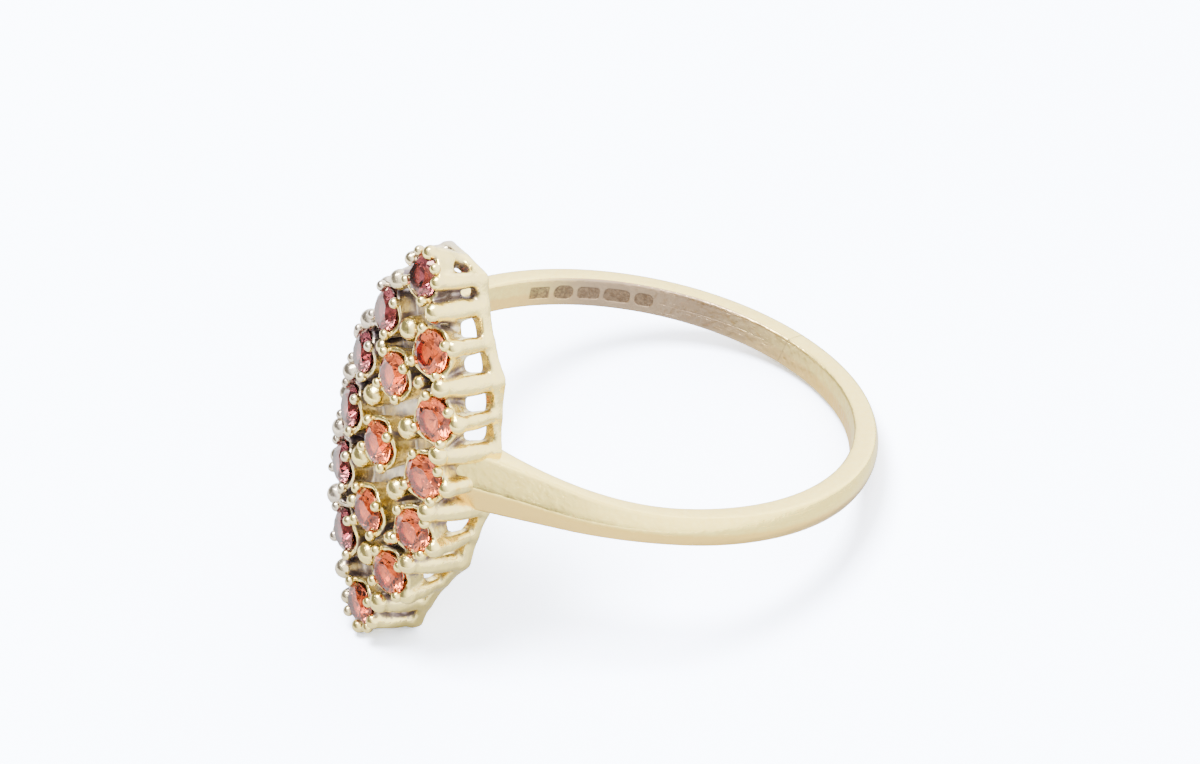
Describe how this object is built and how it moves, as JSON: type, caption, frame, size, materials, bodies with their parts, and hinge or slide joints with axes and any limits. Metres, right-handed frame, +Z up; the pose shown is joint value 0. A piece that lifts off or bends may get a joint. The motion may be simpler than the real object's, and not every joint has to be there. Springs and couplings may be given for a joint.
{
  "type": "cluster ring",
  "caption": "Finger ring with round faceted garnets in a pierced, pointed-oval gold cluster head on a slim tapered shank.",
  "frame": {"origin": "middle of the finger hole", "axes": "The ring lies on its side as it rests: +Z is up, the cluster head is towards -X, and the XZ plane halves the ring. The finger hole's axis is tilted from +Z towards +X by the rest tilt of 21.7 degrees."},
  "size_m": [0.0219, 0.019, 0.0156],
  "materials": {
    "gold": "polished pale yellow 9 carat gold",
    "garnet": "faceted transparent red stone"
  },
  "bodies": {
    "root": {"ring_mount": "gold", "garnet_01": "garnet", "garnet_02": "garnet", "garnet_03": "garnet", "garnet_04": "garnet", "garnet_05": "garnet", "garnet_06": "garnet", "garnet_07": "garnet", "garnet_08": "garnet", "garnet_09": "garnet", "garnet_10": "garnet", "garnet_11": "garnet", "garnet_12": "garnet", "garnet_13": "garnet", "garnet_14": "garnet", "garnet_15": "garnet"}
  },
  "joints": []
}
